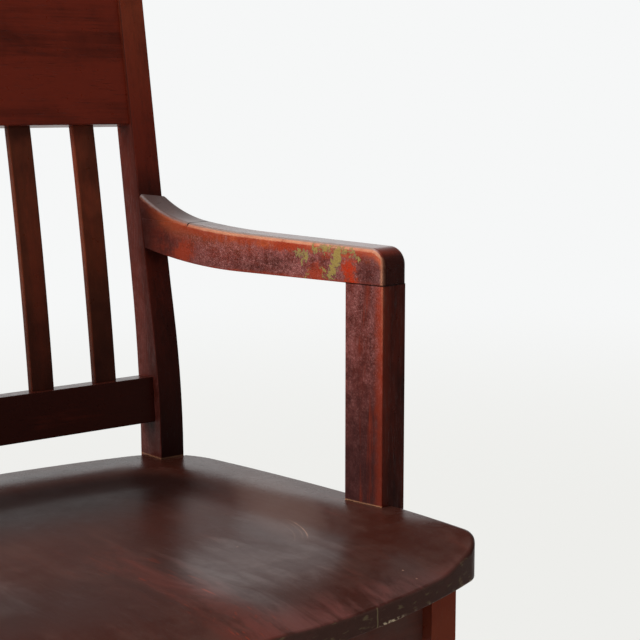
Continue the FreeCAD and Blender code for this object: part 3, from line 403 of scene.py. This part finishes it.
def back_post_wood(name):
    """Back posts: redder towards the top, painted shade at the seat, beside the arms and on the rounded edges
    towards the crest, with a line of old wax round the foot.
    """
    polish = Polish(name, "z", 0.9)
    above_seat = parts(polish.place)[2] * MM - SEAT_TOP
    inner = inward(polish.place)
    rounded = arris(polish.place)
    low = (1 - ease(above_seat, -60.0, 440.0)) * (ease(above_seat, -260.0, -20.0) * 0.6 + 0.4)
    at_arm = 1 - ease(abs(above_seat - 240.0), 25.0, 75.0)
    polish.tinted(FADED_STAIN, ease(above_seat, 320.0, 460.0) * polish.clouds * 0.4)
    polish.tinted(BROWN_STAIN, inner * 0.65)
    # Painted shade: darker at and below the seat and beside the arms, strongest on the faces other than the
    # inner ones
    polish.tinted(PORE_JOINT_AND_SHADE_DARK, largest(low, at_arm * 0.75) * (0.95 - inner * 0.6))
    polish.bloomed(inner * low * 0.2)
    # Painted shade on the rounded edges towards the crest, with rougher polish there
    polish.tinted(PORE_JOINT_AND_SHADE_DARK, rounded * ease(above_seat, 300.0, 340.0) * 0.6)
    polish.roughness = polish.roughness + rounded * 0.3
    seat_line = (1 - ease(abs(above_seat - 0.6), 0.3, 1.2)) * largest(inner, frontal(polish.place))
    polish.tinted(OLD_WAX, seat_line * polish.patches * 0.7)
    return polish.finish()


# Marks on the arms: millimetres back and up to an oval's middle, its half length and half height, its lean

PAINT_DRIPS = [
    (54.0, 22.0, 6.5, 13.0, 0.4), (58.5, 10.0, 5.0, 9.0, 0.4),
    (70.2, 6.0, 1.6, 8.0, -0.2), (89.5, 4.0, 1.4, 5.5, 0.5),
]
PAINT_SCRAPS = [
    (67.0, 29.0, 9.0, 4.0, 0.3), (40.0, 28.0, 9.0, 3.0, 0.2), (30.5, 22.5, 3.2, 4.5, -0.4),
    (97.0, 23.0, 8.0, 3.0, 0.6), (93.0, 18.5, 4.5, 4.0, 0.8), (80.3, 27.5, 4.0, 4.5, 0.2),
]
CLEAN_SPOTS = [(40.0, 13.0, 8.0, 8.5, 0.0), (36.0, 3.0, 6.5, 5.0, 0.0)]
RED_SPOTS = [(78.0, 7.0, 12.0, 9.0, 0.0), (112.0, 29.0, 24.0, 5.0, 0.0), (252.0, 14.0, 14.0, 12.0, 0.3)]


def arm_wood(name, flaked):
    """Arms and risers: crazed inner faces, bright worn upper edges, painted sheen on the tops, painted shade on
    the front faces and, on one arm, flakes of old paint.
    """
    polish = Polish(name, "y", 0.75)
    along, across, up = arm_measures(polish.place)
    torn = shake(polish.place, 260.0, 0.009).vector("ADD", shake(polish.place, 900.0, 0.002))
    ragged_along, _, ragged_up = arm_measures(polish.place.vector("ADD", torn))
    below_top = arm_top(along) - up
    inner = inward(polish.place)
    ragged = (polish.patches - 0.5) * 18
    rear = ease(along + ragged * 3, 210.0, 290.0)
    far_rear = ease(along + ragged, 265.0, 310.0)
    edge_band = (1 - ease(below_top + ragged, 6.0, 15.0)) * (1 - ease(along + ragged, 235.0, 285.0) * 0.85)
    foot_band = 1 - ease(up + ragged * 0.3, 1.0, 4.0)
    blotched = ease(polish.clouds + (polish.patches - 0.5), 0.4, 0.65)
    middle = ease(along + ragged * 2, 130.0, 190.0) * (1 - rear)
    nose_face = (1 - ease(along + ragged * 0.5, 22.0, 32.0)) * ease(below_top, 5.0, 12.0)
    polish.tinted(PORE_JOINT_AND_SHADE_DARK, inner * largest(rear * blotched * 0.7, far_rear * 0.84))
    polish.tinted(AMBER, inner * middle * (1 - ease(below_top, 8.0, 26.0)) * polish.patches * 0.6)
    polish.tinted(CLEAN_RED, inner * largest(edge_band * 0.7, foot_band * 0.5))
    polish.tinted(AMBER, inner * edge_band * ease(polish.clouds, 0.42, 0.66) * 0.7)
    before_post = rear * (1 - far_rear) * (1 - ease(below_top, 9.0, 22.0))
    polish.tinted(AMBER, inner * before_post * polish.patches * 0.6)
    polish.bloomed(inner * (1 - rear * 0.9) * (1 - largest(edge_band * 0.7, foot_band * 0.6)))
    polish.tinted(CRACK_AND_SHADE_DARK, inner * nose_face * 0.5)
    spots = splash(ragged_along, ragged_up, RED_SPOTS) + (polish.patches - 0.5) * 3
    polish.tinted(CLEAN_RED, inner * ease(spots, -0.6, 1.0) * 0.75)
    upper_edge = ease(below_top, 0.6, 1.6) * (1 - ease(below_top, 2.8, 5.0)) * (1 - ease(across, 3.2, 5.0))
    painted_sheen_edge = ease(below_top, 0.02, 0.2) * (1 - ease(below_top, 0.7, 1.6)) * (1 - ease(across, 4.2, 5.2))
    top = (1 - ease(below_top, 0.8, 2.4)) * ease(along, 4.0, 16.0)
    # Painted sheen on the arm's top, greyer towards the riser, whose top is also made darker
    polish.tinted(PAINTED_TOP_SHEEN, top * (rear * 0.2 + 0.5))
    polish.tinted(PORE_JOINT_AND_SHADE_DARK, top * rear * 0.3)
    polish.worn(largest(upper_edge * (1 - rear * 0.6), near_both(along, across, 6.0)) * 0.9, BRIGHT_WEAR)
    # Painted sheen along the top's rounded inner edge, fading towards the riser
    polish.tinted(PAINTED_EDGE_SHEEN, painted_sheen_edge * ease(along, 6.0, 16.0) * (1 - rear * 0.85) * 0.8)
    # Painted shade on the arm's front faces
    polish.tinted(PORE_JOINT_AND_SHADE_DARK, frontal(polish.place) * 0.75)
    if flaked:
        clean = splash(ragged_along, ragged_up, CLEAN_SPOTS) + (polish.patches - 0.5) * 2
        polish.tinted(CLEAN_RED, inner * ease(clean, -0.7, 0.4) * 0.7)
        polish.tinted(BARE_ORANGE, inner * ease(clean, 0.0, 1.0) * ease(polish.speckle, 0.3, 0.6))
        brushed = noise(stretched(polish.place, "z", 90.0, 500.0), 1.0, 3.0, 0.6) - 0.5
        scraps = splash(ragged_along, ragged_up, PAINT_SCRAPS) + brushed * 3
        drips = splash(ragged_along, ragged_up, PAINT_DRIPS) + brushed * 1.5
        polish.tinted(PALE_FLAKE, inner * ease(largest(scraps, drips), -0.3, 0.5) * 0.8)
        polish.tinted(FLAKE, inner * ease(largest(scraps * 0.6, drips), 0.0, 0.7) * 0.85)
        polish.relief = polish.relief + inner * ease(largest(scraps, drips), 0.0, 0.4)
    under = 1 - ease(up, 0.3, 0.9)
    polish.tinted(PORE_JOINT_AND_SHADE_DARK, under * (1 - ease(along, ARM_POST_DEPTH, ARM_POST_DEPTH + 1.0)) * 0.9)
    seam = 1 - ease(abs(along - RISER_START), 0.4, 1.0)
    open_seam = seam * (1 - ease(below_top, 2.0, 5.0))
    polish.tinted(PORE_JOINT_AND_SHADE_DARK, open_seam * 0.9)
    polish.roughness = polish.roughness + open_seam * 0.6
    polish.relief = polish.relief - open_seam * 3
    polish.shine = top * (1 - seam) * (0.6 - ease(along, 130.0, 230.0) * 0.25)
    return polish.finish()


def arm_post_wood(name):
    """Arm posts: bloomed inner faces with red streaks, inner front edge worn bright, painted shade on the front
    faces, old wax at the foot.
    """
    polish = Polish(name, "z", 0.6)
    along, across, up = arm_measures(polish.place)
    above_seat = up + (ARM_UNDERSIDE - SEAT_TOP)
    inner = inward(polish.place)
    streaks = noise(stretched(polish.place, "z", 9.0, 120.0), 1.0, 3.0, 0.6)
    low = 1 - ease(above_seat + (polish.clouds - 0.5) * 80, 40.0, 170.0)
    polish.tinted(CRACK_AND_SHADE_DARK, inner * (low * 0.47 + 0.5))
    polish.tinted(CLEAN_RED, inner * ease(streaks, 0.54, 0.7) * 0.35)
    polish.bloomed(inner * (1 - ease(streaks, 0.5, 0.66) * 0.7) * (0.62 - low * 0.52))
    edge_band = near_both(along + (polish.patches - 0.5) * 12, across, 12.0)
    polish.tinted(CLEAN_RED, edge_band * (0.62 - low * 0.25))
    polish.worn(near_both(along, across, 5.0) * (ease(above_seat, 110.0, 190.0) * 0.35 + 0.25))
    # Painted shade on the post's front faces
    polish.tinted(PORE_JOINT_AND_SHADE_DARK, frontal(polish.place) * 0.36)
    polish.worn(near_both(ARM_POST_DEPTH - along, across, 4.0) * 0.4, CLEAN_RED)
    polish.tinted(PORE_JOINT_AND_SHADE_DARK, ease(up, -0.9, -0.3) * 0.9)
    polish.tinted(OLD_WAX, (1 - ease(above_seat, 0.4, 1.5)) * inner * polish.patches * 1.2)
    return polish.finish()


# Marks on the seat, in millimetres on the chair: ovals as on the arms, arcs about a middle, places across

SHINY_SPOTS = [
    (80.0, -135.0, 85.0, 70.0, 0.0), (165.0, -55.0, 50.0, 95.0, -0.6),
    (10.0, -230.0, 32.0, 70.0, 0.0), (-150.0, -50.0, 50.0, 80.0, 0.5),
]
# Oval of painted sheen on the slopes beside the dish, mirrored to both sides
PAINTED_SHEEN_SLOPES = [(190.0, -20.0, 42.0, 120.0, -0.4)]
SCRATCH_MIDDLE = (84.3, -53.2)
SCRATCHES = [(90.0, 0.55), (86.0, 0.15), (79.0, 0.1)]
RIDGE_MIDDLE = -6.0
CHIPS_BEGIN = (104.0, 112.0)
CHIPS_END = (126.0, 142.0)
DRIP_PLACE = 103.0


def seat_scratches(x, y):
    """Three arcs about one middle, each with its own strength, fading out at both ends."""
    aside, ahead = x - SCRATCH_MIDDLE[0], y - SCRATCH_MIDDLE[1]
    reach = x.math("SQRT", aside * aside + ahead * ahead)
    lines = [(1 - ease(abs(reach - radius), 0.1, 0.9)) * strength for radius, strength in SCRATCHES]
    return largest(*lines) * ease(y, -114.0, -100.0) * (1 - ease(y, -78.0, -52.0)) * ease(x, 100.0, 110.0)


def seat_wood(name):
    """Seat's old polish: brown with a grey haze in the dish, red where the middle ridge is rubbed, painted
    sheen on the slopes beside the dish, painted light on the front face and painted shade on the back wall.
    """
    place = begin(name)
    x, y, z = [axis * MM for axis in parts(place)]
    grain = figure(place, "y")
    dashes = pores(place, "y")
    clouds = noise(place, 10.0, 5.0, 0.6, 0.6)
    streaks = noise(stretched(place, "y", 9.0, 55.0), 1.0, 6.0, 0.68, 0.6)
    patches = noise(place, 75.0, 4.0, 0.62)
    speckle = noise(place, 900.0, 2.0, 0.6)
    from_front = y - SEAT_FRONT
    ridge = (1 - ease(abs(x - RIDGE_MIDDLE), 0.0, 44.0)) * (1 - ease(from_front, 140.0, 290.0))
    front = 1 - ease(from_front, 0.0, 150.0)
    rub = ease(ridge * 0.55 + front * 0.05 + (streaks - 0.5) * 2.2 + (clouds - 0.5) * 0.9, 0.1, 0.95)
    colour = blend(SEAT_BROWN, SEAT_RED, rub * 0.85 + grain * 0.12)
    colour = blend(colour, PORE_JOINT_AND_SHADE_DARK, dashes * 0.3)
    haze = ease(clouds * 0.5 + patches * 0.25 + streaks * 0.25, 0.44, 0.62) * (1 - rub * 0.7)
    # Painted sheen on the slopes beside the dish
    painted_slope_sheen = ease(splash(abs(x), y, PAINTED_SHEEN_SLOPES) + (clouds - 0.5) * 1.5, -0.2, 1.0)
    edge_face = frontal(place) * (1 - ease(z, SEAT_TOP - 16.0, SEAT_TOP - 12.0))
    # The haze share is the polish's own random tone; on the front face this colour is painted light, and on the
    # slopes painted sheen
    colour = blend(colour, HAZE_AND_PAINTED_LIGHT, largest(haze * 0.3, painted_slope_sheen * 0.75, edge_face * 0.5))
    front_edge = (1 - ease(from_front, 12.0, 55.0)) * ease(x, -40.0, 30.0)
    front_edge = front_edge * ease(clouds + streaks, 0.85, 1.15)
    colour = blend(colour, BLOOM, front_edge * (1 - edge_face) * 0.24)
    # Painted shade and painted reflection of the back on the dish's back wall, less on the sheen slopes
    painted_back_shade = ease(y, 10.0, 115.0) * (1 - ease(z, SEAT_TOP - 6.0, SEAT_TOP - 1.0)) * (1 - painted_slope_sheen)
    colour = blend(colour, PORE_JOINT_AND_SHADE_DARK, painted_back_shade * 0.85)
    strokes = ease(noise(stretched(place, "y", 30.0, 500.0), 1.0, 2.0), 0.64, 0.72) * ridge
    colour = blend(colour, CLEAN_RED, strokes * 0.6)
    scratched = seat_scratches(x, y) * ease(patches, 0.3, 0.5)
    specks = 1 - ease(cells(place, 26.0, "F1"), 0.012, 0.03)
    colour = blend(colour, SCRATCH, largest(scratched, specks * 0.6))
    arris_below = 1 - ease(z, SEAT_UNDERSIDE + 2.0, SEAT_UNDERSIDE + 4.0)
    arris_below = arris_below * (1 - ease(from_front, 60.0, 140.0))
    chipped = ease(x, *CHIPS_BEGIN) * (1 - ease(x, *CHIPS_END)) + ease(patches, 0.52, 0.66) * 0.4
    broken = ease(noise(place, 300.0, 2.0, 0.6), 0.42, 0.56)
    colour = blend(colour, BARE_CHIP, arris_below * chipped * broken)
    drip = 1 - ease(abs(x - DRIP_PLACE + (patches - 0.5) * 4), 0.4, 1.2)
    scuffs = ease(noise(stretched(place, "x", 60.0, 210.0), 1.0, 4.0, 0.62), 0.58, 0.7) * 0.4
    colour = blend(colour, OLIVE_SCUFF, edge_face * largest(drip * 0.6, scuffs))
    rim = ease(z, SEAT_TOP - 4.0, SEAT_TOP - 0.5)
    sat_on = ease(splash(x, y, SHINY_SPOTS) + (streaks - 0.5) * 2, -0.4, 0.9)
    shine = rim * 0.26 + sat_on * (haze * 0.2 + 0.24) * (1 - rim) + 0.03
    roughness = 0.42 - rim * 0.14 + (clouds - 0.5) * 0.2 + (patches - 0.5) * 0.14 + (speckle - 0.5) * 0.06
    relief = patches * 0.5 - dashes * 0.4 + streaks * 0.4 - scratched * 0.6
    return close(name, colour, roughness, relief, POLISH_RELIEF, SEAT_GLOSS, shine)


def bare_wood(name, run, light, dark):
    """Wood that was never polished: figure, fibres and pores alone."""
    place = begin(name)
    grain = figure(place, run)
    dashes = pores(place, run)
    colour = blend(blend(dark, light, grain), dark, dashes * 0.6)
    return close(name, colour, 0.62 + (grain - 0.5) * 0.12, grain * 0.4 - dashes, 0.0003, 0.2)


def screw_metal(name):
    """Screw steel, brushed by the driver and browned in spots."""
    place = begin(name)
    spots = ease(noise(place, 420.0, 4.0, 0.65), 0.52, 0.7)
    brushing = noise(stretched(place, "z", 300.0, 2600.0), 1.0, 2.0)
    colour = blend(tone(150, 146, 140), tone(92, 58, 40), spots * 0.7)
    steel = close(name, colour, 0.3 + spots * 0.4 + brushing * 0.1, brushing - spots * 0.5, 0.0001, 0.5)
    steel.node_tree.nodes["Principled BSDF"].inputs["Metallic"].default_value = 1.0
    return steel


# The rails under the seat and the lower back rail are stained darker than the crest, partly as painted shade
cross_rail_finish = rail_wood("stained rails, grain across the chair", "x", 0.3)
side_rail_finish = rail_wood("stained rails, grain front to back", "y", 0.4)
crest_finish = rail_wood("stained crest rail", "x", 0.95)
slat_finish = slat_wood("stained slats")
leg_finish = leg_wood("stained front legs")
# The front apron gets painted light over its stain
front_apron_finish = rail_wood("stained front apron", "x", 0.8, 1.25)
back_post_finish = back_post_wood("stained back posts")
left_arm_finish = arm_wood("stained left arm", True)
right_arm_finish = arm_wood("stained right arm", False)
arm_post_finish = arm_post_wood("stained arm posts")
seat_finish = seat_wood("seat polish")
block_finish = bare_wood("bare block wood", "x", tone(186, 146, 100), tone(140, 100, 62))
plug_finish = bare_wood("plug end grain", "x", tone(84, 36, 22), tone(48, 20, 14))
screw_finish = screw_metal("screw steel")

FINISHES = {
    "seat": seat_finish,
    "crest_rail": crest_finish,
    "left_arm": left_arm_finish,
    "left_arm_riser": left_arm_finish,
    "right_arm": right_arm_finish,
    "right_arm_riser": right_arm_finish,
    "left_apron": side_rail_finish,
    "right_apron": side_rail_finish,
    "left_stretcher": side_rail_finish,
    "right_stretcher": side_rail_finish,
    "lower_back_rail": cross_rail_finish,
    "front_apron": front_apron_finish,
    "rear_apron": cross_rail_finish,
    "cross_stretcher": cross_rail_finish,
}
FINISHES_BY_ENDING = {
    "_leg": leg_finish,
    "_back_post": back_post_finish,
    "_arm_post": arm_post_finish,
    "_block": block_finish,
    "_dowels": block_finish,
    "_plugs": plug_finish,
    "_screws": screw_finish,
}


def finish_of(node):
    """A node's finish, by its whole name or by its name's beginning or ending."""
    if node.startswith("back_slat"):
        return slat_finish
    endings = [finish for ending, finish in FINISHES_BY_ENDING.items() if node.endswith(ending)]
    return FINISHES.get(node) or endings[0]


for node, piece in nodes.items():
    piece.data.materials.clear()
    piece.data.materials.append(finish_of(node))


# Pieces whose edges are eased by hand

EASED_PIECES = [
    "lower_back_rail", "front_apron", "rear_apron", "left_apron", "right_apron",
    "left_stretcher", "right_stretcher", "cross_stretcher",
]


def eased_piece(node):
    """The node's own faces joined up, with its sharp edges rounded by the width of an eased edge."""
    mesh = nodes[node].data.copy()
    mesh.attributes.remove(mesh.attributes["custom_normal"])
    work = bmesh.new()
    work.from_mesh(mesh)
    bmesh.ops.remove_doubles(work, verts=work.verts, dist=1e-6)
    bmesh.ops.dissolve_limit(work, angle_limit=math.radians(0.5), verts=work.verts, edges=work.edges)
    work.to_mesh(mesh)
    work.free()
    piece = bpy.data.objects.new(node + "_eased", mesh)
    scene.collection.objects.link(piece)
    rounding = piece.modifiers.new("eased edges", "BEVEL")
    rounding.width = EASED_EDGE
    rounding.segments = 3
    rounding.limit_method = "ANGLE"
    rounding.angle_limit = math.radians(40.0)
    rounding.harden_normals = True
    mesh.shade_smooth()
    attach(piece, "root")
    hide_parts(node)


for node in EASED_PIECES:
    eased_piece(node)


# Studio: pale floor, soft light and the photograph's view

FLOOR_PALE = tone(226, 225, 222)
FLOOR_NEAR = tone(238, 238, 235)
BACKDROP_WHITE = tone(246, 247, 247)
ROOM_SHADE = tone(66, 64, 62)
SOFT_LIGHT = tone(240, 242, 245)
SOFT_LIGHT_STRENGTH = 0.2
VIEW_WAY = (0.633, 0.774, 0.0)
FLOOR_RADIUS = 30.0
CAMERA_LENS, CAMERA_SENSOR = 84.375, 36.0
CAMERA_PLACE = (-0.6276, -1.0818, 0.8071)
CAMERA_TILT, CAMERA_TURN = math.radians(81.655), math.radians(-39.3)


def seen_rays(wire):
    """1 for what is seen straight, in a mirror or through glass, and 0 for light that falls on the chair."""
    rays = ("Is Camera Ray", "Is Glossy Ray", "Is Transmission Ray")
    return largest(*(wire.node("LightPath", {}, {}, ray) for ray in rays))


def floor_finish(name):
    """Pale floor that takes the chair's shadow close by and goes over to the backdrop's white further out."""
    place = begin(name)
    tree = place.tree
    distance = place.vector("LENGTH", (0.0, 0.0, 0.0), "Value")
    far = ease(distance, 0.55, 1.05)
    white = blend(FLOOR_NEAR, BACKDROP_WHITE, ease(distance, 1.6, 5.0))
    shader = tree.nodes["Principled BSDF"]
    shader.inputs["Base Color"].default_value = FLOOR_PALE
    shader.inputs["Roughness"].default_value = 0.8
    glow = place.node("Emission", {}, {"Color": white, "Strength": 1.0})
    lit = place.node("MixShader", {}, {0: far * seen_rays(place), 1: Wire(tree, shader.outputs[0]), 2: glow})
    off_backdrop = 1 - ease(place.vector("DOT_PRODUCT", VIEW_WAY, "Value") / distance, 0.4, 0.85)
    mirrored = off_backdrop * place.node("LightPath", {}, {}, "Is Glossy Ray")
    shade = place.node("Emission", {}, {"Color": ROOM_SHADE, "Strength": 1.0})
    closed = place.node("MixShader", {}, {0: mirrored, 1: lit, 2: shade})
    tree.links.new(closed.socket, tree.nodes["Material Output"].inputs["Surface"])
    return bpy.data.materials[name]


def floor_disc(name, radius, rings=24, turns=96):
    """Flat disc: radius times u in the direction of angle v, on a grid of rings and turns."""
    around = np.linspace(0.0, 2 * math.pi, turns, endpoint=False)
    u, v = np.meshgrid(np.linspace(0.0, 1.0, rings + 1), around, indexing="ij")
    points = np.stack([radius * u * np.cos(v), radius * u * np.sin(v), np.zeros_like(u)], axis=-1)
    ring, turn = np.meshgrid(np.arange(rings) * turns, np.arange(turns), indexing="ij")
    after = (turn + 1) % turns
    faces = np.stack([ring + turn, ring + turns + turn, ring + turns + after, ring + after], axis=-1)
    mesh = bpy.data.meshes.new(name)
    mesh.from_pydata(points.reshape(-1, 3).tolist(), [], faces.reshape(-1, 4).tolist())
    floor = bpy.data.objects.new(name, mesh)
    scene.collection.objects.link(floor)
    return floor


floor = floor_disc("studio_floor", FLOOR_RADIUS)
floor.data.materials.append(floor_finish("studio floor"))


def softbox(name, position, target, width, height, power, mirrored):
    """Area lamp at a position, turned to a target, and mirrored in the polish or not."""
    lamp = bpy.data.lights.new(name, "AREA")
    lamp.shape = "RECTANGLE"
    lamp.size, lamp.size_y = width, height
    lamp.energy = power
    holder = bpy.data.objects.new(name, lamp)
    holder.location = position
    holder.visible_glossy = mirrored
    aim = np.array(target) - np.array(position)
    turn = math.atan2(aim[1], aim[0]) - math.pi / 2
    tilt = math.pi / 2 + math.atan2(aim[2], math.hypot(aim[0], aim[1]))
    holder.rotation_euler = (tilt, 0.0, turn)
    scene.collection.objects.link(holder)


softbox("side_softbox", (-2.4, 0.6, 1.5), (0.15, 0.0, 0.55), 1.4, 1.8, 80.0, False)
softbox("top_softbox", (-0.3, 0.1, 2.8), (0.0, 0.1, 0.45), 2.0, 2.0, 34.0, True)


def studio_world(name):
    """Even soft light, a white backdrop to look at and, in reflections, a dim room beside and above it."""
    world = bpy.data.worlds.new(name)
    world.use_nodes = True
    tree = world.node_tree
    way = Wire(tree, None).node("TexCoord", {}, {}, "Generated")
    behind = ease(way.vector("DOT_PRODUCT", VIEW_WAY, "Value"), 0.4, 0.85)
    overhead = ease(parts(way)[2], 0.33, 0.5)
    mirrored = blend(ROOM_SHADE, BACKDROP_WHITE, behind * (1 - overhead * 0.95))
    view = blend(mirrored, BACKDROP_WHITE, way.node("LightPath", {}, {}, "Is Camera Ray"))
    light = way.node("Background", {}, {"Color": SOFT_LIGHT, "Strength": SOFT_LIGHT_STRENGTH})
    white = way.node("Background", {}, {"Color": view, "Strength": 1.0})
    studio = way.node("MixShader", {}, {0: seen_rays(way), 1: light, 2: white})
    tree.links.new(studio.socket, tree.nodes["World Output"].inputs["Surface"])
    return world


scene.world = studio_world("studio")

camera = bpy.data.cameras.new("camera")
camera.lens = CAMERA_LENS
camera.sensor_width = CAMERA_SENSOR
viewer = bpy.data.objects.new("camera", camera)
viewer.location = CAMERA_PLACE
viewer.rotation_euler = (CAMERA_TILT, 0.0, CAMERA_TURN)
scene.collection.objects.link(viewer)
scene.camera = viewer
scene.view_settings.view_transform = "Standard"
